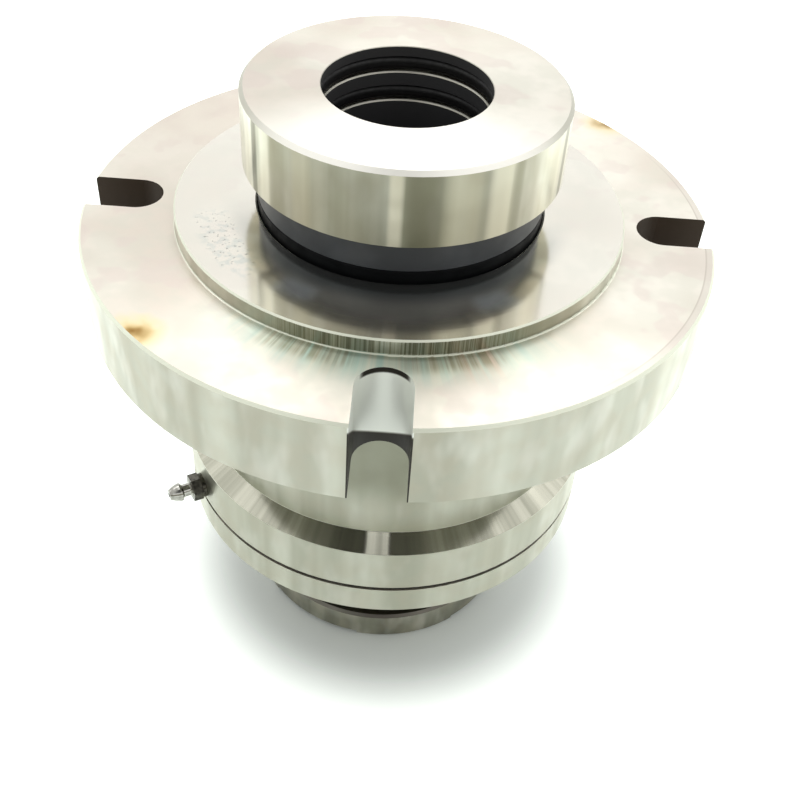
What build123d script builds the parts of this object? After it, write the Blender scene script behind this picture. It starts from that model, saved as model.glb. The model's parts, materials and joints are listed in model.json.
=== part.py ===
from build123d import *
import os
from math import cos, radians, sin, sqrt

os.makedirs("parts", exist_ok=True)

# Cartridge mechanical seal for a slurry pump shaft, in millimetres. The shaft's axis is Z, the foot of
# the lock collar stands on z = 0 and the wet end is up. Radii are built from the shaft outwards and
# heights from the foot upwards.

# ---- Shaft, sleeve and sealing rings: radii ----------------------------------------------------------
shaft_d = 50.0
sleeve_wall = 5.0
barrier_gap = 3.5  # free space between the sleeve and the sealing rings
spigot_wall = 5.0  # thin part of the stationary ring
ring_shoulder = 5.5  # from the spigot out to the full ring
head_rim = 4.25  # head collar beyond the rings

# ---- Gland body, as seen from outside ----------------------------------------------------------------
boss_d = 139.0
flange_d = 196.0
neck_d = 129.8
drum_d = 143.0  # drum below the cone, and the end cover under it
stud_pcd = 165.0
stud_slot_w = 16.0
stud_slots = 4
edge_break = 0.8  # chamfer round the flange and the foot of the cover
fine_break = 0.5  # chamfer on bores, boss and small edges
head_break = 1.2  # chamfer round the head collar's top
boss_fillet = 0.6
neck_fillet = 1.5

# ---- Heights, from the foot up -----------------------------------------------------------------------
lock_height = 12.0
bare_sleeve = 35.3  # sleeve left free between lock collar and cover
cover_t = 11.2
gasket_t = 1.5
drum_height = 16.5
cone_height = 3.8
neck_height = 50.3
flange_t = 27.4
boss_height = 5.1
seat_stand = 3.7  # stationary ring above the boss
face_film = 0.1  # between the two lapped faces
ring_stand = 11.1  # rotating ring below the head
head_height = 23.0

# ---- Clearances --------------------------------------------------------------------------------------
slide_fit = 0.05
float_clearance = 0.35  # round a ring that has to float
spigot_clearance = 0.3
bush_clearance = 0.3
lip_clearance = 0.25
recess_clearance = 0.2
shoulder_gap = 0.2
oring_fit = 0.05
gasket_inset = 0.6

# ---- O-rings -----------------------------------------------------------------------------------------
bore_groove_w = 5.0
bore_groove_depth = 3.5
bore_groove_lead = 3.2  # from the top face down to the first groove
bore_groove_land = 4.4  # between the two grooves
groove_lip = 0.4  # polished lead-in at the lower corner of a bore groove
bore_break = 0.2  # at the mouths of the shaft bore
ring_groove_w = 4.2
ring_groove_depth = 2.9
head_groove_rise = 1.4  # from the recess mouth up to the groove
oring_side_room = 0.3  # beside the squeezed ring, in its groove

# ---- Rotating ring and its drive ---------------------------------------------------------------------
recess_depth = 7.0
rotor_step = 3.0  # from the full ring in to its spigot
drive_pin_d = 4.0
drive_pin_room = 0.4
drive_pin_in_head = 10.0
drive_pin_in_ring = 4.0
drive_pin_count = 3

# ---- Stationary ring, its pins and its spring --------------------------------------------------------
seat_length = 20.0
seat_spigot = 16.0
seat_travel = 2.0
travel_room = 0.5
stop_pin_d = 3.0
stop_pin_room = 0.4
stop_pin_in_gland = 5.0
stop_pin_in_ring = 3.5
stop_pin_count = 2
stop_pin_start = 45.0  # azimuth of the first pin
seat_groove_web = 1.7  # metal between the pins' holes and the O-ring groove
follower_t = 4.0
spring_length = 18.0
spring_wire = 3.6
spring_turns = 3.0

# ---- Throttle bush, lip seals and lantern ring -------------------------------------------------------
bush_wall = 3.7
bush_length = 16.0
bush_land_gap = 2.0
bush_land_t = 4.8
lip_section = 10.0  # from the sleeve out to the seals' pocket
lip_width = 8.0
lip_case_t = 2.2
garter_d = 2.0
lantern_gap = 2.0
lantern_groove_w = 8.0
lantern_groove_depth = 2.2
lantern_ports = 6
lantern_port_d = 4.0
lower_seal_rise = 0.2  # lower seal above the cover's face, so that the lantern ring clamps it

# ---- Cover screws ------------------------------------------------------------------------------------
screw_d = 6.0
screw_count = 6
screw_grip = 18.0  # below the head
screw_head_d = 10.0
screw_head_t = 6.0
screw_play = 0.6  # clearance hole over screw
head_play = 1.0  # counterbore over head
head_sink = 0.5  # head below the cover's lower face
screw_end_room = 2.0
socket_share = 0.5  # depth of a hexagon socket as a share of the head

# ---- Lock collar -------------------------------------------------------------------------------------
tooth_count = 4
tooth_angle = 45.0
tooth_start = -97.0  # azimuth where the first tooth begins
notch_depth = 2.0
lock_break = 1.0
set_screw_d = 6.0
set_screw_count = 3
set_screw_start = 90.0
set_screw_sink = 2.7  # below the collar's wall
dog_d = 4.0
dog_room = 0.6
dog_back = 0.4  # dog point stays out of the shaft bore by this

# ---- Grease nipple, on an axis of its own ------------------------------------------------------------
nipple_azimuth = 210.0
nipple_rise = 4.4  # above the drum's lower face
nipple_base_d = 8.6
nipple_base_t = 1.2
nipple_hex_af = 8.2
nipple_hex_t = 3.4
nipple_hex_turn = -15.0  # turns one flat up and forward
nipple_neck_d = 4.5
nipple_neck_t = 2.9
nipple_head_d = 6.5
nipple_head_t = 4.8
nipple_tip_d = 3.4
nipple_shank_d = 6.9
nipple_shank_t = 7.9
nipple_end_room = 0.1
passage_d = 4.0
ball_d = 2.4
ball_room = 0.5  # chamber over ball
ball_seat_gap = 0.02
orifice_d = 1.7
orifice_t = 0.9
valve_travel = 0.8
valve_wire = 0.4
valve_spring_length = 3.2
valve_spring_turns = 4.0

# ---- Worked out: radii -------------------------------------------------------------------------------
shaft_r = shaft_d / 2
sleeve_r = shaft_r + sleeve_wall
ring_bore_r = sleeve_r + barrier_gap
spigot_r = ring_bore_r + spigot_wall
ring_r = spigot_r + ring_shoulder
head_r = ring_r + head_rim
boss_r = boss_d / 2
flange_r = flange_d / 2
neck_r = neck_d / 2
drum_r = drum_d / 2
rotor_spigot_r = ring_r - rotor_step
head_recess_r = rotor_spigot_r + recess_clearance
seat_bore_r = spigot_r + spigot_clearance
bush_bore_r = sleeve_r + bush_clearance
bush_r = bush_bore_r + bush_wall
land_r = sleeve_r + bush_land_gap
pocket_r = sleeve_r + lip_section
lantern_bore_r = sleeve_r + lantern_gap
cover_bore_r = sleeve_r + lip_section / 3
screw_circle_r = (pocket_r + drum_r) / 2

# ---- Worked out: heights -----------------------------------------------------------------------------
z_set_screw = (lock_height + notch_depth) / 2
z_cover = lock_height + bare_sleeve
z_gasket = z_cover + cover_t
z_drum = z_gasket + gasket_t
z_cone = z_drum + drum_height
z_neck = z_cone + cone_height
z_flange = z_neck + neck_height
z_face = z_flange + flange_t
z_boss = z_face + boss_height
z_seat = z_boss + seat_stand
z_head = z_seat + face_film + ring_stand
z_top = z_head + head_height
z_recess = z_head + recess_depth
z_seat_shoulder = z_seat - seat_length
z_seat_end = z_seat_shoulder - seat_spigot
z_spring_top = z_seat_end - follower_t
z_spring_foot = z_spring_top - spring_length
z_stop = z_seat_shoulder - seat_travel - travel_room
z_seat_groove = z_stop - stop_pin_in_gland - seat_groove_web - ring_groove_w
z_bush = z_spring_foot - bush_length
z_land = z_bush - bush_land_t
z_upper_seal = z_land - lip_width
z_lantern = z_gasket + lower_seal_rise
z_lower_seal = z_lantern - lip_width
z_ports = z_drum + nipple_rise
z_head_groove = z_head + head_groove_rise
z_bore_grooves = [
    z_top - bore_groove_lead - bore_groove_w,
    z_top - bore_groove_lead - 2 * bore_groove_w - bore_groove_land,
]


# ================================ Parts that turn with the shaft ======================================
# Shaft sleeve: head collar and sleeve turned from one bar, with the bore for the shaft, two O-ring
# grooves, the recess for the rotating ring and the blind holes for its drive pins.
with BuildPart() as shaft_sleeve:
    with BuildSketch(Plane.XZ):
        with BuildLine():
            Polyline(
                (shaft_r, notch_depth),
                (sleeve_r, notch_depth),
                (sleeve_r, z_recess),
                (head_recess_r, z_recess),
                (head_recess_r, z_head),
                (head_r, z_head),
                (head_r, z_top),
                (shaft_r, z_top),
                close=True,
            )
        make_face()
    revolve(axis=Axis.Z)
    rims = shaft_sleeve.edges().filter_by(GeomType.CIRCLE)
    chamfer(rims.group_by(Axis.Z)[-1].sort_by(SortBy.RADIUS)[-1], head_break)
    chamfer(rims.group_by(Axis.Z)[-1].sort_by(SortBy.RADIUS)[0], bore_break)
    chamfer(rims.group_by(Axis.Z)[0], fine_break)
    for z_groove in z_bore_grooves:
        with BuildSketch(Plane.XZ):
            with BuildLine():
                Polyline(
                    (shaft_r - 1, z_groove - groove_lip - 1),
                    (shaft_r + groove_lip, z_groove),
                    (shaft_r + bore_groove_depth, z_groove),
                    (shaft_r + bore_groove_depth, z_groove + bore_groove_w),
                    (shaft_r - 1, z_groove + bore_groove_w),
                    close=True,
                )
            make_face()
        revolve(axis=Axis.Z, mode=Mode.SUBTRACT)
    with BuildSketch(Plane.XZ):
        with Locations((head_recess_r - 1, z_head_groove)):
            Rectangle(
                ring_groove_depth + 1, ring_groove_w, align=(Align.MIN, Align.MIN)
            )
    revolve(axis=Axis.Z, mode=Mode.SUBTRACT)
    with BuildSketch(Plane.XY.offset(z_recess)):
        with PolarLocations((ring_bore_r + rotor_spigot_r) / 2, drive_pin_count):
            Circle(drive_pin_d / 2)
    extrude(amount=drive_pin_in_head, mode=Mode.SUBTRACT)
    with PolarLocations(0, set_screw_count, start_angle=set_screw_start):
        with Locations(Plane((0, 0, z_set_screw), z_dir=(1, 0, 0))):
            Cylinder(
                (dog_d + dog_room) / 2,
                sleeve_r + 1,
                align=(Align.CENTER, Align.CENTER, Align.MIN),
                mode=Mode.SUBTRACT,
            )
shaft_sleeve.part.label = "shaft_sleeve"
export_step(shaft_sleeve.part, "parts/shaft_sleeve.step")

# Bore O-rings: squeezed to an oval, flush with the bore and just clear of the groove's floor.
for bore_oring_name, z_groove in zip(("bore_oring_upper", "bore_oring_lower"), z_bore_grooves):
    with BuildPart() as bore_oring:
        with BuildSketch(Plane.XZ):
            oring_t = bore_groove_depth - oring_fit
            with Locations((shaft_r + oring_t / 2, z_groove + bore_groove_w / 2)):
                SlotOverall(bore_groove_w - 2 * oring_side_room, oring_t, rotation=90)
        revolve(axis=Axis.Z)
    bore_oring.part.label = bore_oring_name
    export_step(bore_oring.part, f"parts/{bore_oring_name}.step")

# Rotating ring: silicon carbide, its spigot seated on the floor of the head's recess.
with BuildPart() as rotating_ring:
    with BuildSketch(Plane.XZ):
        with BuildLine():
            Polyline(
                (ring_bore_r, z_seat + face_film),
                (ring_r, z_seat + face_film),
                (ring_r, z_head - shoulder_gap),
                (rotor_spigot_r, z_head - shoulder_gap),
                (rotor_spigot_r, z_recess),
                (ring_bore_r, z_recess),
                close=True,
            )
        make_face()
    revolve(axis=Axis.Z)
    face_edges = rotating_ring.edges().filter_by(GeomType.CIRCLE).group_by(Axis.Z)[0]
    chamfer(face_edges, fine_break / 2)
    with BuildSketch(Plane.XY.offset(z_recess)):
        with PolarLocations((ring_bore_r + rotor_spigot_r) / 2, drive_pin_count):
            Circle((drive_pin_d + drive_pin_room) / 2)
    extrude(amount=-(drive_pin_in_ring + 1), mode=Mode.SUBTRACT)
rotating_ring.part.label = "rotating_ring"
export_step(rotating_ring.part, "parts/rotating_ring.step")

# Its O-ring, in the groove in the recess wall.
with BuildPart() as rotating_ring_oring:
    with BuildSketch(Plane.XZ):
        oring_in = rotor_spigot_r + oring_fit
        oring_out = head_recess_r + ring_groove_depth - oring_fit
        with Locations(((oring_in + oring_out) / 2, z_head_groove + ring_groove_w / 2)):
            SlotOverall(ring_groove_w - 2 * oring_side_room, oring_out - oring_in, rotation=90)
    revolve(axis=Axis.Z)
rotating_ring_oring.part.label = "rotating_ring_oring"
export_step(rotating_ring_oring.part, "parts/rotating_ring_oring.step")

# Drive pins: pressed in the head, free in the ring's holes.
with BuildPart() as drive_pins:
    with BuildSketch(Plane.XY.offset(z_recess - drive_pin_in_ring)):
        with PolarLocations((ring_bore_r + rotor_spigot_r) / 2, drive_pin_count):
            Circle(drive_pin_d / 2)
    extrude(amount=drive_pin_in_ring + drive_pin_in_head)
drive_pins.part.label = "drive_pins"
export_step(drive_pins.part, "parts/drive_pins.step")

# Lock collar: wide shallow notches in its lower face for a spanner, and radial set screws.
with BuildPart() as lock_collar:
    with BuildSketch():
        Circle(head_r)
        Circle(sleeve_r + slide_fit, mode=Mode.SUBTRACT)
    extrude(amount=lock_height)
    collar_rims = lock_collar.faces().sort_by(Axis.Z)[-1].edges().sort_by(SortBy.RADIUS)
    chamfer(collar_rims[-1], lock_break)
    chamfer(collar_rims[0], fine_break)
    foot_rims = lock_collar.faces().sort_by(Axis.Z)[0].edges().sort_by(SortBy.RADIUS)
    chamfer(foot_rims[-1], lock_break)
    with BuildSketch():
        for tooth in range(tooth_count):
            notch_start = tooth_start + tooth_angle + tooth * 360 / tooth_count
            notch_angle = 360 / tooth_count - tooth_angle
            with BuildLine():
                reach = 2 * head_r
                mid = notch_start + notch_angle / 2
                end = notch_start + notch_angle
                Polyline(
                    (0, 0),
                    (reach * cos(radians(notch_start)), reach * sin(radians(notch_start))),
                    (reach * cos(radians(mid)), reach * sin(radians(mid))),
                    (reach * cos(radians(end)), reach * sin(radians(end))),
                    close=True,
                )
            make_face()
    extrude(amount=notch_depth, mode=Mode.SUBTRACT)
    with PolarLocations(0, set_screw_count, start_angle=set_screw_start):
        with Locations(Plane((0, 0, z_set_screw), z_dir=(1, 0, 0))):
            Cylinder(
                set_screw_d / 2,
                head_r + 1,
                align=(Align.CENTER, Align.CENTER, Align.MIN),
                mode=Mode.SUBTRACT,
            )
lock_collar.part.label = "lock_collar"
export_step(lock_collar.part, "parts/lock_collar.step")

# Set screws: hexagon socket outside, dog point through the sleeve, just short of the shaft bore.
with BuildPart() as lock_collar_screws:
    screw_out = head_r - set_screw_sink
    screw_in = sleeve_r + slide_fit + 1
    with PolarLocations(0, set_screw_count, start_angle=set_screw_start):
        with Locations(Plane((screw_in, 0, z_set_screw), z_dir=(1, 0, 0))):
            Cylinder(
                set_screw_d / 2 - slide_fit,
                screw_out - screw_in,
                align=(Align.CENTER, Align.CENTER, Align.MIN),
            )
        with Locations(Plane((shaft_r + dog_back, 0, z_set_screw), z_dir=(1, 0, 0))):
            Cylinder(
                dog_d / 2,
                screw_in - shaft_r - dog_back,
                align=(Align.CENTER, Align.CENTER, Align.MIN),
            )
    for screw in range(set_screw_count):
        turn = radians(set_screw_start + screw * 360 / set_screw_count)
        out = (cos(turn), sin(turn), 0)
        with BuildSketch(Plane((screw_out * out[0], screw_out * out[1], z_set_screw), z_dir=out)):
            RegularPolygon(set_screw_d / 4, 6, major_radius=False)
        extrude(amount=-set_screw_d / 2, mode=Mode.SUBTRACT)
lock_collar_screws.part.label = "lock_collar_screws"
export_step(lock_collar_screws.part, "parts/lock_collar_screws.step")


# ================================ Parts bolted to the pump ============================================
nipple_out = (cos(radians(nipple_azimuth)), sin(radians(nipple_azimuth)), 0)
nipple_foot = (drum_r * nipple_out[0], drum_r * nipple_out[1], z_ports)
nipple_plane = Plane(nipple_foot, x_dir=(0, 0, 1), z_dir=nipple_out)
nipple_axis = Axis(nipple_foot, nipple_out)

# Gland: boss, flange with four open stud slots, neck, polished cone and drum in one casting, turned all
# over. Its bore steps down from the floating ring's recess to the throttle bush and out to the seals.
with BuildPart() as gland:
    with BuildSketch(Plane.XY.offset(z_flange)):
        Circle(flange_r)
    extrude(amount=flange_t)
    chamfer(gland.edges().filter_by(GeomType.CIRCLE), edge_break)
    with BuildSketch(Plane.XZ):
        with BuildLine():
            Polyline(
                (0, z_drum),
                (drum_r, z_drum),
                (drum_r, z_cone),
                (neck_r, z_neck),
                (neck_r, z_flange + flange_t / 2),
                (boss_r, z_flange + flange_t / 2),
                (boss_r, z_boss),
                (0, z_boss),
                close=True,
            )
        make_face()
    revolve(axis=Axis.Z)
    gland_rims = gland.edges().filter_by(GeomType.CIRCLE)
    chamfer(gland_rims.group_by(Axis.Z)[-1], fine_break)
    boss_foot = gland_rims.filter_by_position(Axis.Z, z_face - 0.01, z_face + 0.01)
    fillet(boss_foot.filter_by(lambda rim: abs(rim.radius - boss_r) < 0.01), boss_fillet)
    neck_top = gland.edges().filter_by(GeomType.CIRCLE).filter_by_position(
        Axis.Z, z_flange - 0.01, z_flange + 0.01
    )
    fillet(neck_top.filter_by(lambda rim: abs(rim.radius - neck_r) < 0.01), neck_fillet)
    with BuildSketch(Plane.XY.offset(z_flange)):
        with PolarLocations(stud_pcd / 2, stud_slots):
            Circle(stud_slot_w / 2)
            Rectangle(flange_r, stud_slot_w, align=(Align.MIN, Align.CENTER))
    extrude(amount=flange_t + boss_height, mode=Mode.SUBTRACT)
    with BuildSketch(Plane.XZ):
        with BuildLine():
            Polyline(
                (0, z_drum),
                (pocket_r, z_drum),
                (pocket_r, z_land),
                (land_r, z_land),
                (land_r, z_bush),
                (bush_r, z_bush),
                (bush_r, z_spring_foot),
                (seat_bore_r, z_spring_foot),
                (seat_bore_r, z_stop),
                (ring_r + float_clearance, z_stop),
                (ring_r + float_clearance, z_boss),
                (0, z_boss),
                close=True,
            )
        make_face()
    revolve(axis=Axis.Z, mode=Mode.SUBTRACT)
    with BuildSketch(Plane.XZ):
        with Locations((seat_bore_r - 1, z_seat_groove)):
            Rectangle(
                ring_groove_depth + 1, ring_groove_w, align=(Align.MIN, Align.MIN)
            )
    revolve(axis=Axis.Z, mode=Mode.SUBTRACT)
    bore_mouth = gland.edges().filter_by(GeomType.CIRCLE).group_by(Axis.Z)[-1]
    chamfer(bore_mouth.sort_by(SortBy.RADIUS)[0], fine_break)
    with BuildSketch(Plane.XY.offset(z_stop)):
        with PolarLocations((spigot_r + ring_r) / 2, stop_pin_count, start_angle=stop_pin_start):
            Circle(stop_pin_d / 2)
    extrude(amount=-stop_pin_in_gland, mode=Mode.SUBTRACT)
    with BuildSketch(Plane.XY.offset(z_drum)):
        with PolarLocations(screw_circle_r, screw_count):
            Circle(screw_d / 2)
    z_screw_end = z_cover + head_sink + screw_head_t + screw_grip
    extrude(amount=z_screw_end + screw_end_room - z_drum, mode=Mode.SUBTRACT)
    with BuildSketch(nipple_plane):
        Circle((nipple_shank_d + 2 * slide_fit) / 2)
    extrude(amount=-(nipple_shank_t + nipple_end_room), mode=Mode.SUBTRACT)
    with BuildSketch(nipple_plane):
        Circle(passage_d / 2)
    extrude(amount=-(drum_r - sleeve_r), mode=Mode.SUBTRACT)
gland.part.label = "gland"
export_step(gland.part, "parts/gland.step")

# Cover gasket: a flat joint ring, a little smaller than the drum.
with BuildPart() as cover_gasket:
    with BuildSketch(Plane.XY.offset(z_gasket)):
        Circle(drum_r - gasket_inset)
        Circle(pocket_r + gasket_inset, mode=Mode.SUBTRACT)
        with PolarLocations(screw_circle_r, screw_count):
            Circle((screw_d + screw_play) / 2, mode=Mode.SUBTRACT)
    extrude(amount=gasket_t)
cover_gasket.part.label = "cover_gasket"
export_step(cover_gasket.part, "parts/cover_gasket.step")

# End cover: holds the lower lip seal against the lantern ring.
with BuildPart() as end_cover:
    with BuildSketch(Plane.XZ):
        with BuildLine():
            Polyline(
                (cover_bore_r, z_cover),
                (drum_r, z_cover),
                (drum_r, z_gasket),
                (pocket_r, z_gasket),
                (pocket_r, z_lower_seal),
                (cover_bore_r, z_lower_seal),
                close=True,
            )
        make_face()
    revolve(axis=Axis.Z)
    cover_rims = end_cover.edges().filter_by(GeomType.CIRCLE)
    chamfer(cover_rims.group_by(Axis.Z)[0], edge_break)
    with Locations(Plane((0, 0, z_cover), z_dir=(0, 0, -1))):
        with PolarLocations(screw_circle_r, screw_count):
            CounterBoreHole(
                (screw_d + screw_play) / 2,
                (screw_head_d + head_play) / 2,
                head_sink + screw_head_t,
            )
end_cover.part.label = "end_cover"
export_step(end_cover.part, "parts/end_cover.step")

# Cover screws: six socket screws from below.
with BuildPart() as cover_screws:
    z_screw_head = z_cover + head_sink
    with BuildSketch(Plane.XY.offset(z_screw_head)):
        with PolarLocations(screw_circle_r, screw_count):
            Circle(screw_head_d / 2)
    extrude(amount=screw_head_t)
    chamfer(cover_screws.faces().group_by(Axis.Z)[0].edges(), fine_break)
    with BuildSketch(Plane.XY.offset(z_screw_head + screw_head_t)):
        with PolarLocations(screw_circle_r, screw_count):
            Circle(screw_d / 2 - slide_fit)
    extrude(amount=screw_grip)
    with BuildSketch(Plane.XY.offset(z_screw_head)):
        with PolarLocations(screw_circle_r, screw_count):
            RegularPolygon(screw_head_d / 4, 6, major_radius=False)
    extrude(amount=screw_head_t * socket_share, mode=Mode.SUBTRACT)
cover_screws.part.label = "cover_screws"
export_step(cover_screws.part, "parts/cover_screws.step")

# Lip seals with their garter springs: a stiff case and a lip that runs on the sleeve. Both lips look
# up, so that spent grease leaves towards the wet end and nothing comes back.
lip_tip_r = sleeve_r + lip_clearance
garter_r = lip_tip_r + lip_section * 0.34
for seal_side, z_seal in (("upper", z_upper_seal), ("lower", z_lower_seal)):
    z_garter = z_seal + lip_width * 0.77
    with BuildPart() as lip_seal:
        with BuildSketch(Plane.XZ):
            with BuildLine():
                Polyline(
                    (pocket_r - slide_fit, z_seal),
                    (pocket_r - slide_fit, z_seal + lip_width),
                    (pocket_r - slide_fit - lip_case_t, z_seal + lip_width),
                    (pocket_r - slide_fit - lip_case_t, z_seal + lip_case_t),
                    (garter_r + garter_d / 2, z_seal + lip_case_t),
                    (garter_r, z_seal + lip_width * 0.55),
                    (garter_r, z_seal + lip_width * 0.95),
                    (lip_tip_r + lip_section * 0.14, z_seal + lip_width * 0.95),
                    (lip_tip_r, z_seal + lip_width * 0.68),
                    (lip_tip_r + lip_section * 0.16, z_seal + lip_case_t),
                    (lip_tip_r + lip_section * 0.19, z_seal),
                    close=True,
                )
            make_face()
            with Locations((garter_r, z_garter)):
                Circle(garter_d / 2 + slide_fit, mode=Mode.SUBTRACT)
        revolve(axis=Axis.Z)
    lip_seal.part.label = f"lip_seal_{seal_side}"
    export_step(lip_seal.part, f"parts/lip_seal_{seal_side}.step")
    with BuildPart() as garter_spring:
        with BuildSketch(Plane.XZ):
            with Locations((garter_r, z_garter)):
                Circle(garter_d / 2)
        revolve(axis=Axis.Z)
    garter_spring.part.label = f"garter_spring_{seal_side}"
    export_step(garter_spring.part, f"parts/garter_spring_{seal_side}.step")

# Lantern ring: spaces the two lip seals and spreads the grease from its outer groove through the
# ports to the sleeve.
with BuildPart() as lantern_ring:
    with BuildSketch(Plane.XZ):
        with Locations((lantern_bore_r, z_lantern)):
            Rectangle(
                pocket_r - 4 * slide_fit - lantern_bore_r,
                z_upper_seal - z_lantern,
                align=(Align.MIN, Align.MIN),
            )
        with Locations(
            (pocket_r - 4 * slide_fit, z_ports), (lantern_bore_r, z_ports)
        ):
            Rectangle(2 * lantern_groove_depth, lantern_groove_w, mode=Mode.SUBTRACT)
    revolve(axis=Axis.Z)
    with PolarLocations(0, lantern_ports, start_angle=nipple_azimuth):
        with Locations(Plane((sleeve_r, 0, z_ports), z_dir=(1, 0, 0))):
            Cylinder(
                lantern_port_d / 2,
                lip_section,
                align=(Align.CENTER, Align.CENTER, Align.MIN),
                mode=Mode.SUBTRACT,
            )
lantern_ring.part.label = "lantern_ring"
export_step(lantern_ring.part, "parts/lantern_ring.step")

# Throttle bush: pressed in the gland, close round the sleeve.
with BuildPart() as throttle_bush:
    with BuildSketch(Plane.XY.offset(z_bush)):
        Circle(bush_r)
        Circle(bush_bore_r, mode=Mode.SUBTRACT)
    extrude(amount=bush_length)
    chamfer(throttle_bush.edges().filter_by(GeomType.CIRCLE).sort_by(SortBy.RADIUS)[:2], fine_break)
throttle_bush.part.label = "throttle_bush"
export_step(throttle_bush.part, "parts/throttle_bush.step")

# O-ring of the stationary ring, held in the gland's groove while the spigot floats in it.
with BuildPart() as seat_oring:
    with BuildSketch(Plane.XZ):
        seat_oring_in = spigot_r + spigot_clearance / 2
        seat_oring_out = seat_bore_r + ring_groove_depth - oring_fit
        with Locations(
            ((seat_oring_in + seat_oring_out) / 2, z_seat_groove + ring_groove_w / 2)
        ):
            SlotOverall(
                ring_groove_w - 2 * oring_side_room, seat_oring_out - seat_oring_in, rotation=90
            )
    revolve(axis=Axis.Z)
seat_oring.part.label = "seat_oring"
export_step(seat_oring.part, "parts/seat_oring.step")

# Anti-rotation pins: pressed in the gland, free in the stationary ring over its whole travel.
with BuildPart() as anti_rotation_pins:
    with BuildSketch(Plane.XY.offset(z_stop - stop_pin_in_gland)):
        with PolarLocations((spigot_r + ring_r) / 2, stop_pin_count, start_angle=stop_pin_start):
            Circle(stop_pin_d / 2)
    z_pin_top = z_seat_shoulder + stop_pin_in_ring
    extrude(amount=z_pin_top - z_stop + stop_pin_in_gland)
anti_rotation_pins.part.label = "anti_rotation_pins"
export_step(anti_rotation_pins.part, "parts/anti_rotation_pins.step")

# Grease nipple: round base, hexagon, waisted neck and hooked head, bored through for its check valve.
# Distances run outwards from the drum's wall.
hex_at = nipple_base_t
neck_at = hex_at + nipple_hex_t
head_at = neck_at + nipple_neck_t
tip_at = head_at + nipple_head_t
seat_at = tip_at - orifice_t
ball_r = ball_d / 2
ball_at = seat_at - sqrt(ball_r**2 - (orifice_d / 2) ** 2) - ball_seat_gap
spring_at = ball_at - ball_r - valve_spring_length
chamber_at = spring_at - valve_travel - nipple_end_room
chamber_r = (ball_d + ball_room) / 2
nipple_side = Plane(nipple_foot, x_dir=nipple_out, z_dir=(nipple_out[1], -nipple_out[0], 0))
with BuildPart() as grease_nipple:
    with BuildSketch(nipple_side):
        with BuildLine():
            Polyline(
                (hex_at, 0),
                (-nipple_shank_t, 0),
                (-nipple_shank_t, nipple_shank_d / 2),
                (0, nipple_shank_d / 2),
                (0, nipple_base_d / 2),
                (hex_at, nipple_base_d / 2),
                close=True,
            )
        make_face()
    revolve(axis=nipple_axis)
    with BuildSketch(nipple_plane.offset(hex_at)):
        RegularPolygon(nipple_hex_af / 2, 6, major_radius=False, rotation=nipple_hex_turn)
    extrude(amount=nipple_hex_t)
    with BuildSketch(nipple_side):
        with BuildLine():
            waist_r = nipple_neck_d / 2
            brim_r = nipple_head_d / 2
            tip_r = nipple_tip_d / 2
            shoulder_at = neck_at + nipple_neck_t * 0.2
            brim_at = head_at + nipple_head_t * 0.25
            Polyline((hex_at, 0), (hex_at, nipple_hex_af * 0.45), (neck_at, nipple_hex_af * 0.45))
            Polyline(
                (neck_at, nipple_hex_af * 0.45), (shoulder_at, waist_r), (head_at, waist_r)
            )
            Polyline((head_at, waist_r), (brim_at - 0.5, brim_r), (brim_at, brim_r))
            ThreePointArc(
                (brim_at, brim_r),
                ((brim_at + tip_at) / 2, tip_r + (brim_r - tip_r) * 0.62),
                (tip_at, tip_r),
            )
            Polyline((tip_at, tip_r), (tip_at, 0), (hex_at, 0))
        make_face()
    revolve(axis=nipple_axis)
    with BuildSketch(nipple_side):
        with BuildLine():
            Polyline(
                (-nipple_shank_t, 0),
                (-nipple_shank_t, orifice_d / 2),
                (chamber_at, orifice_d / 2),
                (chamber_at, chamber_r),
                (seat_at, chamber_r),
                (seat_at, orifice_d / 2),
                (tip_at, orifice_d / 2),
                (tip_at, 0),
                close=True,
            )
        make_face()
    revolve(axis=nipple_axis, mode=Mode.SUBTRACT)
grease_nipple.part.label = "grease_nipple"
export_step(grease_nipple.part, "parts/grease_nipple.step")


# ================================ Parts that float ====================================================
# Stationary ring: carbon, it stands proud of the boss and slides down by the travel.
with BuildPart() as stationary_ring:
    with BuildSketch(Plane.XZ):
        with BuildLine():
            Polyline(
                (ring_bore_r, z_seat_end),
                (spigot_r, z_seat_end),
                (spigot_r, z_seat_shoulder),
                (ring_r, z_seat_shoulder),
                (ring_r, z_seat),
                (ring_bore_r, z_seat),
                close=True,
            )
        make_face()
    revolve(axis=Axis.Z)
    seat_rims = stationary_ring.edges().filter_by(GeomType.CIRCLE).group_by(Axis.Z)
    chamfer(seat_rims[-1], fine_break / 2)
    chamfer(seat_rims[0], fine_break)
    with BuildSketch(Plane.XY.offset(z_seat_shoulder)):
        with PolarLocations((spigot_r + ring_r) / 2, stop_pin_count, start_angle=stop_pin_start):
            Circle((stop_pin_d + stop_pin_room) / 2)
    extrude(amount=stop_pin_in_ring + seat_travel + travel_room, mode=Mode.SUBTRACT)
stationary_ring.part.label = "stationary_ring"
export_step(stationary_ring.part, "parts/stationary_ring.step")

# Spring follower: passes the spring's push to the ring's spigot.
with BuildPart() as spring_follower:
    with BuildSketch(Plane.XY.offset(z_spring_top)):
        Circle(spigot_r)
        Circle(ring_bore_r, mode=Mode.SUBTRACT)
    extrude(amount=follower_t)
spring_follower.part.label = "spring_follower"
export_step(spring_follower.part, "parts/spring_follower.step")

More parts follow.
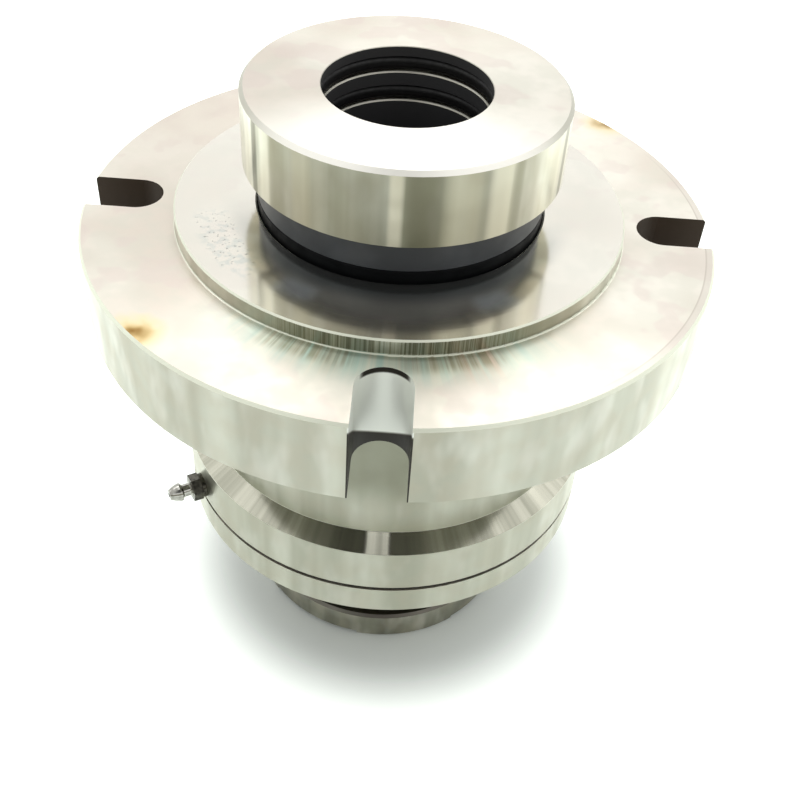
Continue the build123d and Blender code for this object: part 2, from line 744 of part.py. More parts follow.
# Seat spring: one coil spring with ground ends, between the gland's ledge and the follower.
with BuildPart() as seat_spring:
    with BuildLine() as seat_coil:
        Helix(
            pitch=(spring_length - spring_wire / 2) / spring_turns,
            height=spring_length - spring_wire / 2,
            radius=(ring_bore_r + spigot_r) / 2,
            center=(0, 0, z_spring_foot + spring_wire / 4),
        )
    with BuildSketch(Plane(seat_coil.line @ 0, z_dir=seat_coil.line % 0)):
        Circle(spring_wire / 2)
    sweep()
    split(bisect_by=Plane.XY.offset(z_spring_foot), keep=Keep.TOP)
    split(bisect_by=Plane.XY.offset(z_spring_top), keep=Keep.BOTTOM)
seat_spring.part.label = "seat_spring"
export_step(seat_spring.part, "parts/seat_spring.step")

# Check valve of the nipple: a ball on the orifice with its spring behind it.
with BuildPart() as nipple_ball:
    with Locations(nipple_plane.offset(ball_at)):
        Sphere(ball_r)
nipple_ball.part.label = "nipple_ball"
export_step(nipple_ball.part, "parts/nipple_ball.step")

with BuildPart() as nipple_spring:
    with BuildLine() as valve_coil:
        Helix(
            pitch=(valve_spring_length - valve_wire) / valve_spring_turns,
            height=valve_spring_length - valve_wire,
            radius=chamber_r - valve_wire,
            center=nipple_plane.offset(spring_at + valve_wire / 2).origin,
            direction=nipple_out,
        )
    with BuildSketch(Plane(valve_coil.line @ 0, z_dir=valve_coil.line % 0)):
        Circle(valve_wire / 2)
    sweep()
nipple_spring.part.label = "nipple_spring"
export_step(nipple_spring.part, "parts/nipple_spring.step")
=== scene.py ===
"""Looks of the cartridge mechanical seal: its turned, lapped and moulded finishes, floor and light."""

import json
from math import cos, radians, sin

import bpy
from mathutils import Matrix, Vector


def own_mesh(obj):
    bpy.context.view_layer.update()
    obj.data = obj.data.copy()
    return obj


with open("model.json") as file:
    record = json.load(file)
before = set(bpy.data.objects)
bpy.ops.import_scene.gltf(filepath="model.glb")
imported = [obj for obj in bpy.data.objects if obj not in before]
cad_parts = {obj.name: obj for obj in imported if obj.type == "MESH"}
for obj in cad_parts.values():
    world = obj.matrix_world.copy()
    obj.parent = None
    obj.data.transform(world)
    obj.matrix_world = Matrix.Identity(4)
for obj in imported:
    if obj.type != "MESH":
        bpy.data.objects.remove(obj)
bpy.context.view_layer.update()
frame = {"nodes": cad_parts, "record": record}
nodes = frame["nodes"]
MM = 0.001

# Heights above the foot.
CONE_FOOT, CONE_TOP = 76.5 * MM, 80.3 * MM
UNDERSIDE = 130.6 * MM
FLANGE_FACE = 158 * MM
BOSS_FACE = 163.1 * MM

# Radii from the shaft's axis, and the stud slots.
BORE_RADIUS = 25 * MM
NECK_RADIUS = 64.9 * MM
BOSS_RADIUS = 69.5 * MM
FLANGE_RADIUS = 98 * MM
SLOT_HALF_WIDTH = 8 * MM
SLOT_INNER_END = 74 * MM

TURNING_FEED = 0.8 * MM  # the real tool feed of 0.2 mm is too fine to show


# ---- Small tools -------------------------------------------------------------------------------------
SMOOTH = {"interpolation_type": "SMOOTHSTEP"}
TIMES = {"operation": "MULTIPLY"}
GREATER = {"operation": "MAXIMUM"}
COLOURS = {"data_type": "RGBA"}


def linear(hex_colour):
    """An sRGB hex colour as linear RGBA."""
    channels = [int(hex_colour[i : i + 2], 16) / 255 for i in (1, 3, 5)]
    return tuple(c / 12.92 if c <= 0.04045 else ((c + 0.055) / 1.055) ** 2.4 for c in channels) + (1.0,)


def add(tree, kind, values=(), output=None, **settings):
    """Adds a shader node with its settings and gives its first live output, or the one that is named.

    Values fill its live inputs in order, or by name: each is a number, a hex colour or a socket.
    """
    node = tree.nodes.new("ShaderNode" + kind)
    for name, value in settings.items():
        setattr(node, name, value)
    inputs = [socket for socket in node.inputs if socket.enabled]
    if isinstance(values, dict):
        inputs = [next(socket for socket in inputs if socket.name == name) for name in values]
        values = values.values()
    for socket, value in zip(inputs, values):
        if isinstance(value, bpy.types.NodeSocket):
            tree.links.new(value, socket)
        else:
            socket.default_value = linear(value) if isinstance(value, str) else value
    return next((o for o in node.outputs if (o.name == output if output else o.enabled)), None)


def new_material(name):
    """An empty node material and its tree."""
    material = bpy.data.materials.new(name)
    material.use_nodes = True
    material.node_tree.nodes.clear()
    return material, material.node_tree


def paint(tree, colour, new_colour, *where):
    """Lays a new colour over the old one, by the product of the shares that say where."""
    share = where[0]
    for other in where[1:]:
        share = add(tree, "Math", (share, other), **TIMES)
    return add(tree, "Mix", (share, colour, new_colour), **COLOURS)


def band(tree, value, low, high, soft):
    """1 between two limits, falling to 0 over a soft edge outside them."""
    above = add(tree, "MapRange", (value, low - soft, low), **SMOOTH)
    below = add(tree, "MapRange", (value, high, high + soft, 1.0, 0.0), **SMOOTH)
    return add(tree, "Math", (above, below), **TIMES)


def cloud(tree, place, feature_mm, low=0.35, high=0.65, stretch=1.0):
    """Soft patches about feature_mm across, stretched along the axis, and spread to reach 0 and 1."""
    place = add(tree, "VectorMath", (place, (1, 1, 1 / stretch)), **TIMES)
    noise = {"Vector": place, "Scale": 1 / (feature_mm * MM), "Detail": 2.0, "Roughness": 0.5}
    return add(tree, "MapRange", (add(tree, "TexNoise", noise), low, high), **SMOOTH)


def turned_place(tree):
    """Where a point of a turned part lies: place, radius, height, and its direction from the axis."""
    place = add(tree, "TexCoord", output="Object")
    flat = add(tree, "VectorMath", (place, (1, 1, 0)), **TIMES)
    out = add(tree, "VectorMath", (flat,), operation="NORMALIZE")
    radius = add(tree, "VectorMath", (flat,), operation="LENGTH")
    height = add(tree, "SeparateXYZ", (place,), output="Z")
    return place, radius, height, out


def streaks(tree, out, width_mm, at_radius_mm, low=0.35, high=0.65):
    """Strips about width_mm wide on a wall of that radius: they change only round the axis."""
    noise = {"Vector": out, "Scale": at_radius_mm / width_mm, "Detail": 3.0, "Roughness": 0.6}
    return add(tree, "MapRange", (add(tree, "TexNoise", noise), low, high), **SMOOTH)


def azimuth_band(tree, out, azimuth, half_width):
    """1 near an azimuth, 0 beyond half_width degrees from it. Azimuth -90 is the front."""
    toward = (cos(radians(azimuth)), sin(radians(azimuth)), 0)
    nearness = add(tree, "VectorMath", (out, toward), operation="DOT_PRODUCT")
    limits = (nearness, cos(radians(half_width)), cos(radians(half_width * 0.25)))
    return add(tree, "MapRange", limits, **SMOOTH)


def facing_up(tree):
    """How far a face looks up: 1 is level, 0 a wall, -1 an underside."""
    return add(tree, "SeparateXYZ", (add(tree, "NewGeometry", output="Normal"),), output="Z")


# ---- Stainless ---------------------------------------------------------------------------------------
FACE_LIGHT = "#e9e5d9"
FACE_WARM = "#d6cdc0"
FACE_DULL = "#c8c9bc"
FACE_ROSY = "#d3c4bd"
WALL_LIGHT = "#d5d6c8"
WALL_DARK = "#b1b1a2"
WALL_WARM = "#d2c8b4"
WALL_SMEAR = "#ebeae1"
SLOT_SHADE = "#3a2a18"
DEEP_SLOT_SHADE = "#231e16"
SATIN = (0.285, 0.37)  # roughness, least and most
BROKEN_EDGE_ROUGHNESS = 0.5
BOSS_ROUGHNESS = 0.13
POLISH_ROUGHNESS = 0.1
SKIN_ROUGHNESS = 0.6

# Heat stains by the flange's rim: azimuth, radius and spread in millimetres, and strength.
HEAT_STAINS = ((-135.6, 96, 7, 1.0), (43, 98, 8, 0.8), (-59, 98, 2, 0.6))
# Each stain is a straw halo round a brown core: colour, inner and outer share of its spread.
STAIN_RINGS = (("#e6cf96", 0.4, 1.6), ("#86642f", 0.2, 1.0))

# Narrow light and dark streaks painted on the head's wall as reflections: azimuth, half width, colour and
# strength.
HEAD_REFLECTION_STREAKS = (
    (-148, 2.5, "#5f5d4c", 0.7),
    (-141, 4, "#f0eedd", 0.5),
    (-134, 5, "#85826c", 0.5),
    (-123, 5, "#d8d2ba", 0.4),
    (-82, 12, "#67664f", 0.5),
    (-90.5, 3, "#f2ead4", 0.5),
    (-69, 8, "#d8d3ba", 0.45),
    (-55, 6, "#efebd6", 0.7),
    (-49, 3, "#8d8a74", 0.4),
    (-30, 9, "#efebd6", 0.5),
    (-19, 3, "#64614f", 0.6),
)


def stainless_base(tree, wall_light=WALL_LIGHT, wall_dark=WALL_DARK):
    """Turned stainless: creamy cloudy faces, and greener walls with upright strips."""
    place, radius, height, out = turned_place(tree)
    facing = facing_up(tree)
    level = add(tree, "MapRange", (facing, 0.45, 0.8), **SMOOTH)
    upright = add(tree, "MapRange", (facing, 0.2, 0.4, 1.0, 0.0), **SMOOTH)
    fine = cloud(tree, place, feature_mm=9)
    face = add(tree, "Mix", (cloud(tree, place, feature_mm=45), FACE_LIGHT, FACE_WARM), **COLOURS)
    face = paint(tree, face, FACE_DULL, fine, 0.35)
    face = paint(tree, face, FACE_ROSY, cloud(tree, place, feature_mm=14, low=0.52, high=0.6), 0.35)
    strips = streaks(tree, out, width_mm=16, at_radius_mm=60)
    wall = add(tree, "Mix", (strips, wall_light, wall_dark), **COLOURS)
    wall = paint(tree, wall, WALL_WARM, fine, 0.25)
    smears = cloud(tree, place, feature_mm=8, low=0.45, high=0.75, stretch=2.5)
    wall = paint(tree, wall, WALL_SMEAR, smears, 0.4)
    colour = add(tree, "Mix", (level, wall, face), **COLOURS)
    return (place, radius, height, out), (facing, level, upright), fine, colour


def turned_steel(tree, colour, roughness, where, metal=1.0, swirl=0.7):
    """The shader of a turned metal: its turning lines stretch each reflection across them."""
    place, radius, height, out = where
    across_lines = add(tree, "Math", (radius, height), operation="ADD")
    lines = {"W": across_lines, "Scale": 1 / TURNING_FEED, "Detail": 2.0}
    lines = add(tree, "TexNoise", lines, noise_dimensions="1D")
    relief = {"Strength": 0.25, "Distance": 0.02 * MM, "Height": lines}
    finish = {
        "Base Color": colour,
        "Metallic": metal,
        "Roughness": roughness,
        "Anisotropic": swirl,
        "Anisotropic Rotation": 0.25,  # stretched across the lines, not along them
        "Tangent": add(tree, "Tangent", direction_type="RADIAL", axis="Z"),
        "Normal": add(tree, "Bump", relief),
    }
    add(tree, "OutputMaterial", (add(tree, "BsdfPrincipled", finish),))


def heat_stains(tree, colour, place, fine, on_face):
    """Straw halos round brown cores, where the rim of the flange's face got hot."""
    for azimuth, at_radius, spread, strength in HEAT_STAINS:
        turn = radians(azimuth)
        centre = (at_radius * MM * cos(turn), at_radius * MM * sin(turn), FLANGE_FACE)
        away = add(tree, "VectorMath", (place, centre), operation="DISTANCE")
        ragged = add(tree, "Math", (fine, 3 * MM, away), operation="MULTIPLY_ADD")
        for stain, inner, outer in STAIN_RINGS:
            limits = (ragged, spread * inner * MM, spread * outer * MM, strength, 0.0)
            share = add(tree, "MapRange", limits, **SMOOTH)
            colour = paint(tree, colour, stain, share, on_face)
    return colour


def oxide_film(tree, colour, radius, out, on_face):
    """Thin film in front of the boss: pale green and yellow fans with a pink one, and olive flecks."""
    fan = streaks(tree, out, width_mm=3.5, at_radius_mm=80, low=0.3, high=0.7)
    hues = add(tree, "Mix", (fan, "#8fc4b8", "#cfd6c0"), **COLOURS)
    film = add(tree, "MapRange", (radius, 72 * MM, 86 * MM, 0.6, 0.0), **SMOOTH)
    colour = paint(tree, colour, hues, film, azimuth_band(tree, out, -90, 48), on_face)
    colour = paint(tree, colour, "#c9a796", film, azimuth_band(tree, out, -71, 7), on_face, fan)
    burnt = band(tree, radius, 70 * MM, 74 * MM, 4 * MM)
    flecks = streaks(tree, out, width_mm=1.2, at_radius_mm=74)
    for azimuth in (-107, -75):
        beside_slot = azimuth_band(tree, out, azimuth, 14)
        colour = paint(tree, colour, "#877b58", burnt, beside_slot, on_face, flecks, 0.6)
    return colour


def boss_marks(tree, colour, place, radius, height, out, boss_face):
    """Chatter marks on the boss's olive wall, pits, and painted reflections of the rings on its face.

    Gives the colour and the share of the two painted blue wedge reflections, where the face is least
    metallic.
    """
    wall = band(tree, radius, BOSS_RADIUS - 0.6 * MM, BOSS_RADIUS + 0.6 * MM, 0.1 * MM)
    up_wall = band(tree, height, FLANGE_FACE + 0.4 * MM, BOSS_FACE - 0.5 * MM, 0.1 * MM)
    wall = add(tree, "Math", (wall, up_wall), **TIMES)
    colour = paint(tree, colour, "#9d9b85", wall, azimuth_band(tree, out, -84, 52), 0.9)

    # The tool chattered in front: a comb of marks about 0.6 mm apart, which also nicks the face's rim.
    comb = streaks(tree, out, width_mm=0.6, at_radius_mm=69.5, low=0.4, high=0.6)
    front = azimuth_band(tree, out, -88, 35)
    teeth = add(tree, "Mix", (comb, "#7d7c6b", "#b3b3a2"), **COLOURS)
    colour = paint(tree, colour, teeth, wall, front)
    nicks = band(tree, radius, BOSS_RADIUS - 3 * MM, BOSS_RADIUS, 2 * MM)
    colour = paint(tree, colour, "#f2f0e6", comb, nicks, front, boss_face, 0.6)

    # The face is cleaner than the flange, with a painted dark reflection of the rings close to them in
    # front.
    colour = paint(tree, colour, "#eae8de", boss_face, 0.6)
    near_ring = add(tree, "MapRange", (radius, 49 * MM, 56 * MM, 0.65, 0.0), **SMOOTH)
    colour = paint(tree, colour, "#6c7a80", near_ring, boss_face, azimuth_band(tree, out, -90, 88))

    # Painted reflections: two wedges have a pale blue tint.
    wedge_reflections = 0.0
    for azimuth in (-60, -118):
        wedge = band(tree, radius, 56 * MM, 58 * MM, 5 * MM)
        wedge = add(tree, "Math", (wedge, azimuth_band(tree, out, azimuth, 8)), **TIMES)
        wedge_reflections = add(tree, "Math", (wedge_reflections, wedge), **GREATER)
    wedge_reflections = add(tree, "Math", (wedge_reflections, boss_face), **TIMES)
    colour = paint(tree, colour, "#cbd8e4", wedge_reflections, 0.5)

    # Fine pits with a grey bloom lie at the left.
    pitted = band(tree, radius, 55 * MM, 62 * MM, 4 * MM)
    pitted = add(tree, "Math", (pitted, azimuth_band(tree, out, -148, 22)), **TIMES)
    bloom = cloud(tree, place, feature_mm=3, low=0.45, high=0.65)
    colour = paint(tree, colour, "#b9c3c0", bloom, pitted, boss_face, 0.4)
    pits = cloud(tree, place, feature_mm=1.2, low=0.63, high=0.68)
    colour = paint(tree, colour, "#6d6f68", pits, pitted, boss_face, 0.5)
    return colour, wedge_reflections


def slot_skins(tree, place, radius, height, facing):
    """Shares of painted shade in the stud slots, of a painted bright band in the front slot, and of the
    front slot itself.

    Only the front slot has the bright band. It ends on a slope that runs down and out from the inner wall.
    """
    across = add(tree, "SeparateXYZ", (place,), output="X")
    along = add(tree, "SeparateXYZ", (place,), output="Y")
    half_width = SLOT_HALF_WIDTH + 0.3 * MM
    across_slot = band(tree, across, -half_width, half_width, 0.1 * MM)
    wall = add(tree, "MapRange", (facing, 0.5, 0.7, 1.0, 0.0), **SMOOTH)

    # Painted shade: the slots at the sides and behind are dark all over.
    side = band(tree, along, -half_width, half_width, 0.1 * MM)
    behind = add(tree, "MapRange", (along, 0.0, 1 * MM), **SMOOTH)
    behind = add(tree, "Math", (across_slot, behind), **TIMES)
    side = add(tree, "Math", (side, behind), **GREATER)
    limits = (radius, SLOT_INNER_END - 0.5 * MM, SLOT_INNER_END + 0.3 * MM)
    beyond_end = add(tree, "MapRange", limits, **SMOOTH)
    side = add(tree, "Math", (side, beyond_end), **TIMES)

    # In the front slot a painted bright band lies above the slope, painted shade below it, and a crescent
    # of painted shade at the upper lip.
    limits = (along, -SLOT_INNER_END - 0.3 * MM, -SLOT_INNER_END + 0.1 * MM, 1.0, 0.0)
    front = add(tree, "MapRange", limits, **SMOOTH)
    front = add(tree, "Math", (front, across_slot), **TIMES)
    fall = 0.92  # how steeply the slope falls on its way out
    drop = (along, -fall, -fall * (SLOT_INNER_END + 0.5 * MM))
    drop = add(tree, "Math", drop, operation="MULTIPLY_ADD")
    over_slope = add(tree, "Math", (height, drop), operation="SUBTRACT")
    above = add(tree, "MapRange", (over_slope, UNDERSIDE + 2.6 * MM, UNDERSIDE + 4 * MM), **SMOOTH)
    below = add(tree, "Math", (1.0, above), operation="SUBTRACT")
    lip = add(tree, "MapRange", (height, FLANGE_FACE - 2.1 * MM, FLANGE_FACE - 1.3 * MM), **SMOOTH)
    crescent = add(tree, "MapRange", (along, -78.5 * MM, -76.5 * MM), **SMOOTH)
    crescent = add(tree, "Math", (crescent, lip), **TIMES)
    front_dark = add(tree, "Math", (front, add(tree, "Math", (below, crescent), **GREATER)), **TIMES)
    dark = add(tree, "Math", (add(tree, "Math", (side, front_dark), **GREATER), wall), **TIMES)
    painted_bright_band = add(tree, "Math", (add(tree, "Math", (front, above), **TIMES), wall), **TIMES)
    return dark, painted_bright_band, front


def gland_stainless():
    """Cast stainless, turned all over: satin faces, a polished cone, a dull skin where no tool went, and
    painted shade and a painted bright band in the stud slots.
    """
    material, tree = new_material("cast_stainless_turned")
    where, (facing, level, upright), fine, colour = stainless_base(tree)
    place, radius, height, out = where
    on_face = band(tree, height, FLANGE_FACE - 0.4 * MM, FLANGE_FACE + 0.4 * MM, 0.1 * MM)
    boss_face = add(tree, "MapRange", (height, BOSS_FACE - 0.7 * MM, BOSS_FACE - 0.3 * MM), **SMOOTH)

    # Painted shade: the walls under the flange are painted darker, and the neck darkest behind the open
    # front slot.
    shade_under_flange = add(tree, "MapRange", (height, UNDERSIDE - 2.6 * MM, UNDERSIDE + 1.4 * MM, 0.3, 0.0), **SMOOTH)
    colour = paint(tree, colour, "#a3a592", shade_under_flange, upright)
    neck = band(tree, radius, NECK_RADIUS - 0.9 * MM, NECK_RADIUS + 1.1 * MM, 0.3 * MM)
    neck_top = add(tree, "MapRange", (height, 88 * MM, 104 * MM, 0.0, 0.85), **SMOOTH)
    behind_slot = azimuth_band(tree, out, -90, 18)
    colour = paint(tree, colour, "#8f907f", neck, neck_top, behind_slot, upright)
    colour, wedge_reflections = boss_marks(tree, colour, place, radius, height, out, boss_face)
    # Painted shade: the flange's face is greyer at the back left.
    colour = paint(tree, colour, "#cbc2b6", azimuth_band(tree, out, 135, 50), on_face, 0.6)
    colour = heat_stains(tree, colour, place, fine, on_face)
    colour = oxide_film(tree, colour, radius, out, on_face)

    # A scribed line runs close to the rim on the right, and its outer side is a little greyer.
    right = azimuth_band(tree, out, -12, 48)
    scribed = band(tree, radius, 95.2 * MM, 95.4 * MM, 0.25 * MM)
    colour = paint(tree, colour, "#a69d90", scribed, right, on_face, 0.5)
    outside = band(tree, radius, 95.4 * MM, FLANGE_RADIUS, 0.2 * MM)
    colour = paint(tree, colour, "#cfc8be", outside, right, on_face, 0.5)

    # Turned edges are broken, and painted bright as a highlight.
    edge = band(tree, facing, 0.5, 0.85, 0.1)
    colour = paint(tree, colour, "#e9ecdb", edge)

    # The cone took a polish; its reflections are crisp.
    cone = band(tree, height, CONE_FOOT + 0.1 * MM, CONE_TOP - 0.1 * MM, 0.1 * MM)
    off_neck = add(tree, "MapRange", (radius, NECK_RADIUS, NECK_RADIUS + 0.2 * MM), **SMOOTH)
    cone = add(tree, "Math", (cone, off_neck), **TIMES)
    cone_strips = streaks(tree, out, width_mm=7, at_radius_mm=68)
    cone_colour = add(tree, "Mix", (cone_strips, "#d2d1c0", "#a9a999"), **COLOURS)
    colour = paint(tree, colour, cone_colour, cone)

    # The flange's underside is dull, painted darker as shade, and darkest in front.
    dark, painted_bright_band, front = slot_skins(tree, place, radius, height, facing)
    under = add(tree, "MapRange", (facing, -0.9, -0.6, 1.0, 0.0), **SMOOTH)
    at_underside = band(tree, height, UNDERSIDE - 0.2 * MM, UNDERSIDE + 0.2 * MM, 0.1 * MM)
    under = add(tree, "Math", (under, at_underside), **TIMES)
    # Painted highlight: a bright band on the front slot's inner wall.
    colour = paint(tree, colour, "#f3f5ee", painted_bright_band)
    colour = paint(tree, colour, "#8f8d82", under)
    colour = paint(tree, colour, "#4f4d45", under, azimuth_band(tree, out, -92, 30))
    # Painted shade in the stud slots, deepest in the front slot.
    colour = paint(tree, colour, SLOT_SHADE, dark)
    colour = paint(tree, colour, DEEP_SLOT_SHADE, dark, front)

    roughness = add(tree, "MapRange", (fine, 0.0, 1.0, *SATIN))
    roughness = add(tree, "Mix", (boss_face, roughness, BOSS_ROUGHNESS))
    roughness = add(tree, "Mix", (edge, roughness, BROKEN_EDGE_ROUGHNESS))
    roughness = add(tree, "Mix", (cone, roughness, POLISH_ROUGHNESS))
    roughness = add(tree, "Mix", (painted_bright_band, roughness, 0.5))
    dull_and_shaded = add(tree, "Math", (dark, under), **GREATER)
    roughness = add(tree, "Mix", (dull_and_shaded, roughness, SKIN_ROUGHNESS))
    metal = add(tree, "Mix", (dull_and_shaded, 1.0, 0.1))
    metal = add(tree, "Mix", (painted_bright_band, metal, 0.6))
    metal = add(tree, "Mix", (boss_face, metal, add(tree, "Mix", (wedge_reflections, 0.94, 0.84))))
    unturned = add(tree, "Math", (dull_and_shaded, painted_bright_band), **GREATER)
    swirl = add(tree, "Mix", (boss_face, 0.75, 0.4))
    swirl = add(tree, "Mix", (unturned, swirl, 0.0))
    turned_steel(tree, colour, roughness, where, metal, swirl)
    return material


def sleeve_stainless():
    """Stainless bar, turned: a head with painted highlights and painted reflection streaks, a bore painted
    dark as shade, and a foot of the sleeve painted darker as shade.
    """
    material, tree = new_material("bar_stainless_turned")
    where, (facing, level, upright), fine, colour = stainless_base(tree, "#ecebdc", "#bdbcaa")
    place, radius, height, out = where
    # Painted reflections: the head's wall is darker in front, and its top face is painted bright in front.
    colour = paint(tree, colour, "#83826d", upright, azimuth_band(tree, out, -88, 62), 0.6)
    colour = paint(tree, colour, "#fbf9f1", level, azimuth_band(tree, out, -88, 75), 0.8)
    # Painted reflections: light and dark streaks on the head's wall.
    for azimuth, half_width, streak, strength in HEAD_REFLECTION_STREAKS:
        share = azimuth_band(tree, out, azimuth, half_width)
        colour = paint(tree, colour, streak, upright, share, strength)

    # Painted highlight: the broken edges are painted bright, brightest in front.
    edge = band(tree, facing, 0.5, 0.85, 0.1)
    edge_highlight = add(tree, "Mix", (azimuth_band(tree, out, -88, 70), "#c6c4b8", "#f8f6ee"), **COLOURS)
    colour = paint(tree, colour, edge_highlight, edge)
    # Painted shade: the bore is painted near-black.
    bore = add(tree, "MapRange", (radius, BORE_RADIUS + 1 * MM, BORE_RADIUS + 1.4 * MM, 1.0, 0.0), **SMOOTH)
    bore = add(tree, "Math", (bore, add(tree, "MapRange", (facing, 0.3, 0.5, 1.0, 0.0), **SMOOTH)), **TIMES)
    colour = paint(tree, colour, "#3c3c3d", bore)
    # Painted shade: the foot of the sleeve under the cover is painted darker.
    sleeve_foot = add(tree, "MapRange", (height, 60 * MM, 70 * MM, 1.0, 0.0), **SMOOTH)
    colour = paint(tree, colour, "#86857a", sleeve_foot, upright, 0.8)

    roughness = add(tree, "MapRange", (fine, 0.0, 1.0, 0.285, 0.38))
    roughness = add(tree, "Mix", (edge, roughness, BROKEN_EDGE_ROUGHNESS))
    roughness = add(tree, "Mix", (bore, roughness, 0.5))
    turned_steel(tree, colour, roughness, where, add(tree, "Mix", (bore, 1.0, 0.2)))
    return material


def lock_collar_stainless():
    """Stainless, turned: a grey wall painted darker as shade, and painted shade on the face under the
    cover.
    """
    material, tree = new_material("lock_collar_stainless_turned")
    where, (facing, level, upright), fine, colour = stainless_base(tree, "#a09f90", "#8a897c")
    # Painted shade: the face under the cover is painted dark.
    colour = paint(tree, colour, "#4a4840", level)
    turned_steel(tree, colour, add(tree, "MapRange", (fine, 0.0, 1.0, 0.3, 0.4)), where)
    return material


# ---- Small parts -------------------------------------------------------------------------------------
def bright_metal(name, light, dark, roughness):
    """Small metal parts: clean, with faint handling marks about 3 mm across."""
    material, tree = new_material(name)
    marks = cloud(tree, add(tree, "TexCoord", output="Object"), feature_mm=3)
    finish = {
        "Base Color": add(tree, "Mix", (marks, light, dark), **COLOURS),
        "Metallic": 1.0,
        "Roughness": add(tree, "MapRange", (marks, 0.0, 1.0, roughness, roughness * 1.4)),
    }
    add(tree, "OutputMaterial", (add(tree, "BsdfPrincipled", finish),))
    return material


def nickel_plate():
    """Steel, nickel plated: a mirror-like head on the nipple, its hexagon and base painted dark as a
    painted reflection.
    """
    material, tree = new_material("steel_nickel_plated")
    place, radius, height, out = turned_place(tree)
    # Painted reflection: the hexagon and base are painted dark.
    hex_and_base = add(tree, "MapRange", (radius, 76.0 * MM, 76.8 * MM, 1.0, 0.0), **SMOOTH)
    grime = cloud(tree, place, feature_mm=1.5)
    colour = add(tree, "Mix", (grime, "#c6c5be", "#a3a29a"), **COLOURS)
    painted_dark = add(tree, "Mix", (grime, "#66645b", "#3f3d37"), **COLOURS)
    finish = {
        "Base Color": paint(tree, colour, painted_dark, hex_and_base),
        "Metallic": 1.0,
        "Roughness": add(tree, "Mix", (hex_and_base, 0.08, 0.2)),
    }
    add(tree, "OutputMaterial", (add(tree, "BsdfPrincipled", finish),))
    return material


def dull_solid(name, light, dark, roughness, grain_mm, shine=0.5):
    """A non-metal with a grain of that size."""
    material, tree = new_material(name)
    grain = cloud(tree, add(tree, "TexCoord", output="Object"), grain_mm)
    relief = {"Strength": 0.1, "Distance": 0.01 * MM, "Height": grain}
    finish = {
        "Base Color": add(tree, "Mix", (grain, light, dark), **COLOURS),
        "Roughness": add(tree, "MapRange", (grain, 0.0, 1.0, roughness * 0.9, roughness * 1.15)),
        "Specular IOR Level": shine,
        "Normal": add(tree, "Bump", relief),
    }
    add(tree, "OutputMaterial", (add(tree, "BsdfPrincipled", finish),))
    return material


finishes = {
    "stainless": gland_stainless(),
    "sleeve_steel": sleeve_stainless(),
    "collar_steel": lock_collar_stainless(),
    # Lapped silicon carbide: smooth charcoal grey with a soft sheen.
    "silicon_carbide": dull_solid("silicon_carbide_lapped", "#45484c", "#3a3d41", 0.35, 12),
    # Lapped carbon: black, with hardly any sheen.
    "seat_carbide": dull_solid("carbon_lapped", "#08090c", "#050608", 0.5, 4, shine=0.12),
    # Moulded nitrile: black with a soft gloss.
    "oring_rubber": dull_solid("nitrile_moulded", "#161616", "#0e0e0e", 0.5, 1.5),
    # Pressed joint fibre: an oily dark line with no gloss.
    "joint_fibre": dull_solid("joint_fibre_pressed", "#35322b", "#24211c", 0.8, 0.6),
    # Moulded lip rubber: brown-black.
    "lip_rubber": dull_solid("lip_rubber_moulded", "#1a1412", "#120e0c", 0.5, 1.5),
    # Turned bronze: warm and golden.
    "bush_bronze": bright_metal("bronze_turned", "#c0965a", "#a57c44", 0.3),
    # Drawn spring steel: bright grey wire.
    "spring_steel": bright_metal("spring_steel_drawn", "#b9b9b6", "#9c9c9a", 0.25),
    # Blackened screw steel: dark with an oily shine.
    "screw_steel": bright_metal("screw_steel_blackened", "#6d6c69", "#565552", 0.35),
    "zinc_steel": nickel_plate(),
}
node_slots = {entry["node"]: entry["material_slot"] for entry in frame["record"]["subparts"]}
for name, node in nodes.items():
    node.data.materials.clear()
    node.data.materials.append(finishes[node_slots[name]])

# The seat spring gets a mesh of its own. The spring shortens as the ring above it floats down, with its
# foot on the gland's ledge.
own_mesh(nodes["seat_spring"])


# ---- Floor, light and camera -------------------------------------------------------------------------
# Centre of the painted shadow round the foot.
SHADOW_CENTRE = (3 * MM, 0, 0)


def build_floor():
    """White paper whose painted glow rises away from the foot, leaving a painted shadow round it;
    reflections see it dimmer in front.
    """
    material, tree = new_material("floor_paper")
    paper = add(tree, "BsdfDiffuse", ("#e9eeeb",))
    place = add(tree, "TexCoord", output="Object")
    # Painted shadow: the paper glows more the farther it lies from the foot.
    away = add(tree, "VectorMath", (place, SHADOW_CENTRE), operation="DISTANCE")
    painted_glow = add(tree, "MapRange", (away, 58 * MM, 92 * MM, 0.0, 0.8), **SMOOTH)
    painted_glow = add(tree, "Emission", ("#f3f8f2", painted_glow))
    lifted = add(tree, "AddShader", (paper, painted_glow))
    # Painted shade in reflections: glossy rays see the floor dimmer in front.
    along = add(tree, "SeparateXYZ", (place,), output="Y")
    painted_front_shade = add(tree, "MapRange", (along, -200 * MM, 100 * MM, 0.2, 1.0), **SMOOTH)
    reflected = add(tree, "Math", (add(tree, "LightPath", output="Is Glossy Ray"), painted_front_shade), **TIMES)
    seen = add(tree, "Math", (reflected, add(tree, "LightPath", output="Is Camera Ray")), **GREATER)
    seen = add(tree, "Math", (seen, add(tree, "LightPath", output="Is Transmission Ray")), **GREATER)
    add(tree, "OutputMaterial", (add(tree, "MixShader", (seen, paper, lifted)),))
    bpy.ops.mesh.primitive_plane_add(size=8)
    floor = bpy.context.object
    floor.name = "floor"
    floor.data.materials.append(material)


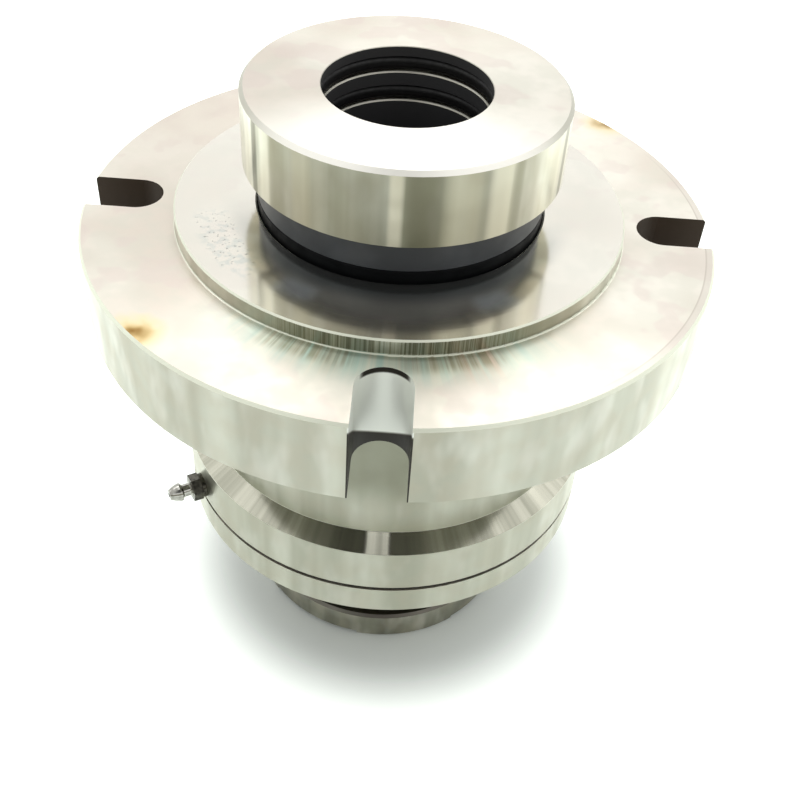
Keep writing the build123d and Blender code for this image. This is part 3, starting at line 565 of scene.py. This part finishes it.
def build_room():
    """A white studio: bright behind, dim and warm low in front, where somebody dark stands.

    Side, depth and rise are the parts of a direction: to the right, to the back and up.
    """
    world = bpy.data.worlds.new("studio")
    bpy.context.scene.world = world
    world.use_nodes = True
    tree = world.node_tree
    tree.nodes.clear()
    direction = add(tree, "TexCoord", output="Generated")
    side, depth, rise = (add(tree, "SeparateXYZ", (direction,), output=axis) for axis in "XYZ")
    back = add(tree, "MapRange", (depth, -0.4, 0.3), **SMOOTH)
    high = add(tree, "MapRange", (rise, 0.15, 0.4), **SMOOTH)
    low_light = add(tree, "Mix", (back, 0.6, 0.88))
    high_light = add(tree, "Mix", (back, 0.95, 1.15))
    strength = add(tree, "Mix", (high, low_light, high_light))

    # The ceiling right behind the lamp is dark, and a soft box stands high at the back.
    behind_lamp = add(tree, "MapRange", (rise, 0.945, 0.98), **SMOOTH)
    strength = add(tree, "Mix", (behind_lamp, strength, 0.15))
    at_back = add(tree, "MapRange", (depth, 0.1, 0.3), **SMOOTH)
    softbox = add(tree, "Math", (at_back, band(tree, rise, 0.7, 0.86, 0.06)), **TIMES)
    strength = add(tree, "Math", (softbox, 1.4, strength), operation="MULTIPLY_ADD")

    # Somebody dark stands in front, at the camera.
    off_side = add(tree, "Math", (side,), operation="ABSOLUTE")
    person = add(tree, "MapRange", (off_side, 0.1, 0.5, 1.0, 0.0), **SMOOTH)
    in_front = add(tree, "MapRange", (depth, -0.45, -0.3, 1.0, 0.0), **SMOOTH)
    person = add(tree, "Math", (person, in_front), **TIMES)
    person = add(tree, "Math", (person, add(tree, "MapRange", (rise, 0.45, 0.6), **SMOOTH)), **TIMES)
    strength = add(tree, "Math", (strength, add(tree, "MapRange", (person, 0.0, 1.0, 1.0, 0.15))), **TIMES)

    white_part = add(tree, "Math", (back, high), **GREATER)
    room = add(tree, "Mix", (white_part, "#b4b19f", "#ffffff"), **COLOURS)
    by_camera = add(tree, "LightPath", output="Is Camera Ray")
    shown = add(tree, "Mix", (by_camera, room, "#ffffff"), **COLOURS)
    strength = add(tree, "Mix", (by_camera, strength, 1.0))
    add(tree, "OutputWorld", (add(tree, "Background", (shown, strength)),))


def build_lamp(name, place, aim, size, power):
    """A soft rectangular lamp that looks at a point."""
    lamp = bpy.data.lights.new(name, "AREA")
    lamp.shape = "RECTANGLE"
    lamp.size, lamp.size_y = size
    lamp.energy = power
    holder = bpy.data.objects.new(name, lamp)
    holder.location = place
    holder.rotation_euler = (Vector(aim) - Vector(place)).to_track_quat("-Z", "Y").to_euler()
    bpy.context.scene.collection.objects.link(holder)


def build_camera():
    """Looks down on the wet end from the side of the open front slot."""
    lens = bpy.data.cameras.new("camera")
    lens.lens = 48.70
    lens.sensor_width = 36
    camera = bpy.data.objects.new("camera", lens)
    right = Vector((0.99743, 0.04860, 0.05270))
    up = Vector((-0.07169, 0.67621, 0.73322))
    back = Vector((0.0, -0.73511, 0.67795))
    turn = Matrix((right, up, back)).transposed().to_4x4()
    camera.matrix_world = Matrix.Translation((4.28 * MM, -289.67 * MM, 345.08 * MM)) @ turn
    bpy.context.scene.collection.objects.link(camera)
    bpy.context.scene.camera = camera


build_floor()
build_room()
build_lamp("overhead", place=(0.0, 0.05, 1.3), aim=(0, 0, 0.1), size=(0.9, 0.9), power=2.3)
build_camera()
bpy.context.scene.view_settings.view_transform = "Standard"
